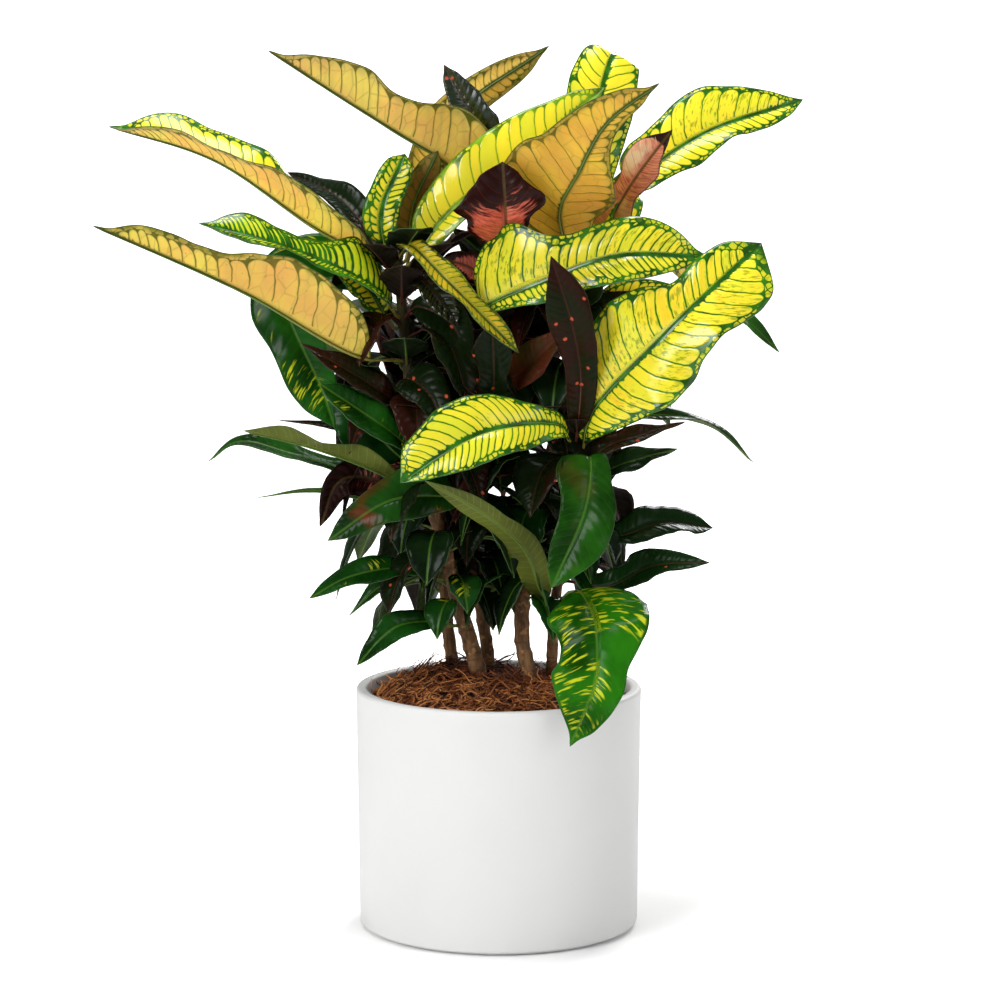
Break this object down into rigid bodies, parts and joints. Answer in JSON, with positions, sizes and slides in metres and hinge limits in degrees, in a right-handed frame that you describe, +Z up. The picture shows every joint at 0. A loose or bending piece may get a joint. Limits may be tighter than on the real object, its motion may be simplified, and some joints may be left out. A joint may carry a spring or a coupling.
{
  "type": "potted croton",
  "caption": "Croton with long lobed yellow, green and maroon leaves on woody stems, growing in a plain round white pot with a coir fibre top.",
  "frame": {"origin": "centre of the pot's flat underside", "axes": "+Z up; -Y is the front of the plant, where one leaf hangs over the rim; +X to the right seen from the front"},
  "size_m": [0.559, 0.3352, 0.7066],
  "materials": {
    "pot": "matt white glaze",
    "potting_mix": "damp dark potting mix of bark and peat",
    "coir_mulch": "loose reddish-brown coconut fibre",
    "stem_bark": "rough grey-brown bark with leaf scars",
    "bright_leaf": "glossy yellow with a net of dark green veins, tan orange underneath",
    "olive_leaf": "glossy golden olive with green veins",
    "green_leaf": "glossy dark green flecked with yellow, olive underneath",
    "dark_leaf": "glossy blackish green and maroon with a few red spots",
    "red_leaf": "glossy maroon flushed with coral red"
  },
  "bodies": {
    "root": {"pot": "pot", "potting_mix": "potting_mix", "coir_mulch": "coir_mulch", "left_stem": "stem_bark", "back_left_stem": "stem_bark", "centre_stem": "stem_bark", "right_stem": "stem_bark", "low_right_stem": "stem_bark", "top_orange_leaf": "bright_leaf", "back_orange_leaf": "bright_leaf", "young_dark_leaf": "dark_leaf", "long_bright_leaf": "bright_leaf", "broad_orange_leaf": "bright_leaf", "maroon_leaf": "red_leaf", "coral_leaf": "red_leaf", "wide_centre_leaf": "bright_leaf", "dark_upright_leaf": "dark_leaf", "big_right_leaf": "bright_leaf", "top_right_leaf": "bright_leaf", "top_centre_leaf": "bright_leaf", "long_left_leaf": "bright_leaf", "low_orange_leaf": "bright_leaf", "left_dashed_leaf": "bright_leaf", "upright_yellow_leaf": "bright_leaf", "upright_tan_leaf": "bright_leaf", "dark_back_left_leaf": "dark_leaf", "big_green_side_leaf": "green_leaf", "inner_netted_leaf": "bright_leaf", "arching_olive_leaf": "olive_leaf", "bronze_leaf": "dark_leaf", "dark_wedge_leaf": "dark_leaf", "red_blotched_leaf": "red_leaf", "striped_dark_leaf": "dark_leaf", "brown_left_leaf": "dark_leaf", "streaked_left_leaf": "green_leaf", "wide_dark_left_leaf": "green_leaf", "long_olive_left_leaf": "green_leaf", "flat_green_left_leaf": "green_leaf", "hanging_maroon_leaf": "red_leaf", "red_flushed_leaf": "green_leaf", "bright_low_leaf": "bright_leaf", "hanging_olive_leaf": "green_leaf", "glossy_hanging_leaf": "green_leaf", "front_drooping_leaf": "green_leaf", "dark_right_leaf": "dark_leaf", "dark_low_right_leaf": "dark_leaf", "grey_right_leaf": "green_leaf", "long_thin_right_leaf": "green_leaf", "brown_right_leaf": "dark_leaf", "behind_right_leaf": "green_leaf", "lower_left_flecked_leaf": "green_leaf", "low_glossy_leaf": "dark_leaf", "rear_bright_leaf": "bright_leaf", "rear_orange_leaf": "bright_leaf", "rear_green_leaf": "green_leaf", "rear_dark_leaf": "dark_leaf", "rear_right_bright_leaf": "bright_leaf", "rear_right_green_leaf": "green_leaf", "rear_low_green_leaf": "green_leaf", "rear_low_dark_leaf": "dark_leaf"}
  },
  "joints": []
}
